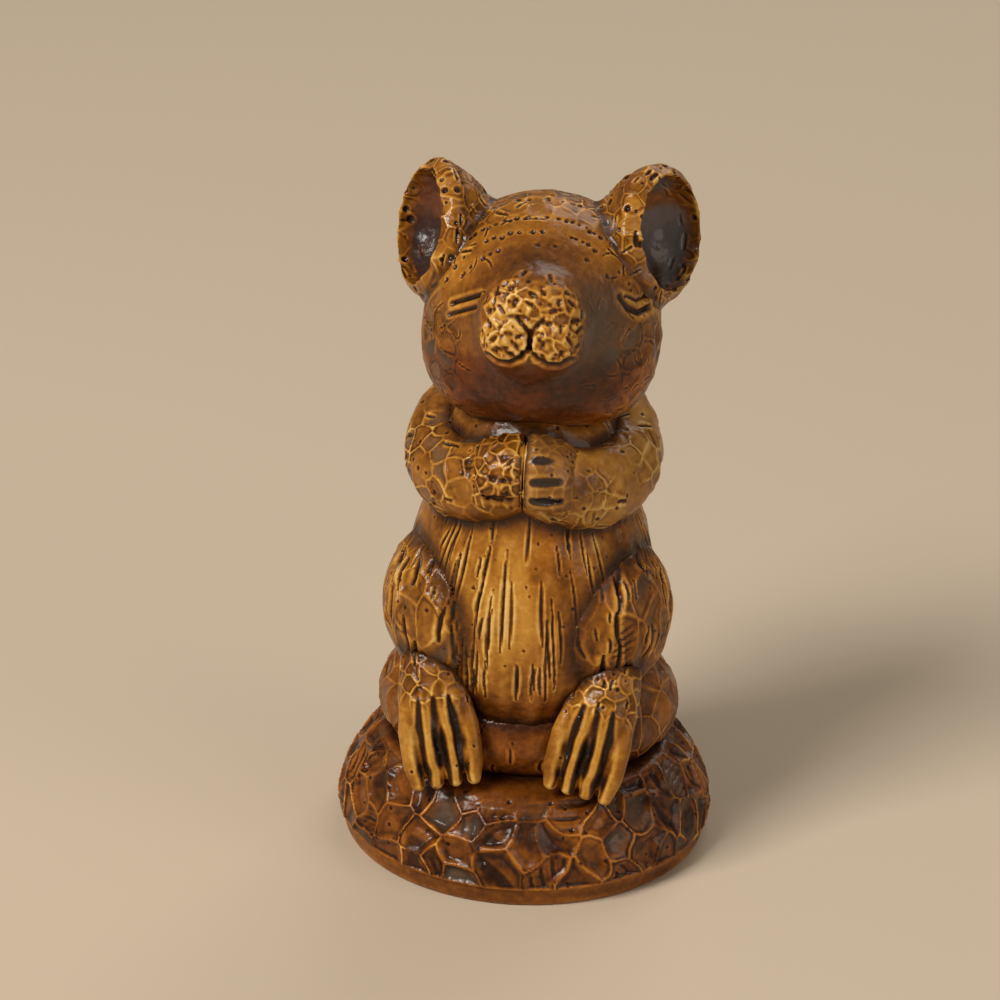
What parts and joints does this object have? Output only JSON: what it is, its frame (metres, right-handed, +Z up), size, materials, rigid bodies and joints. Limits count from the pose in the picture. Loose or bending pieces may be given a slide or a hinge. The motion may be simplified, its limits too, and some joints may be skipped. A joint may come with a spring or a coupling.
{
  "type": "mouse figurine",
  "caption": "Carved mouse figurine with a dark stain and gloss varnish, sitting upright with folded arms on a round mound base.",
  "frame": {"origin": "centre of the underside of the base plate, which stands on z = 0", "axes": "+Z up, -Y is the way the mouse faces, +X is the mouse's own left"},
  "size_m": [0.045, 0.045, 0.0825],
  "materials": {
    "varnished_wood": "satin brown varnish",
    "carved_mound": "gloss varnish over dark stain with pale worn ridges",
    "carved_wood": "gloss varnish over dark stain with pale worn ridges",
    "carved_belly": "gloss varnish over dark stain in cut vertical grooves",
    "carved_paw": "gloss varnish, worn golden on the toes and fingers",
    "carved_head": "gloss varnish over dark stain, worn golden on the muzzle",
    "carved_ear": "gloss varnish, dark inside the cup",
    "dowel_wood": "bare sanded wood"
  },
  "bodies": {
    "root": {"base_plate": "varnished_wood", "base_mound": "carved_mound", "seat": "carved_wood", "torso": "carved_belly", "left_thigh": "carved_wood", "right_thigh": "carved_wood", "left_hind_foot": "carved_paw", "right_hind_foot": "carved_paw", "left_arm": "carved_wood", "right_arm": "carved_wood", "left_front_paw": "carved_paw", "right_front_paw": "carved_paw", "head": "carved_head", "left_ear": "carved_ear", "right_ear": "carved_ear", "tail": "carved_wood", "spine_dowel": "dowel_wood", "neck_dowel": "dowel_wood", "arm_pegs": "dowel_wood"}
  },
  "joints": []
}
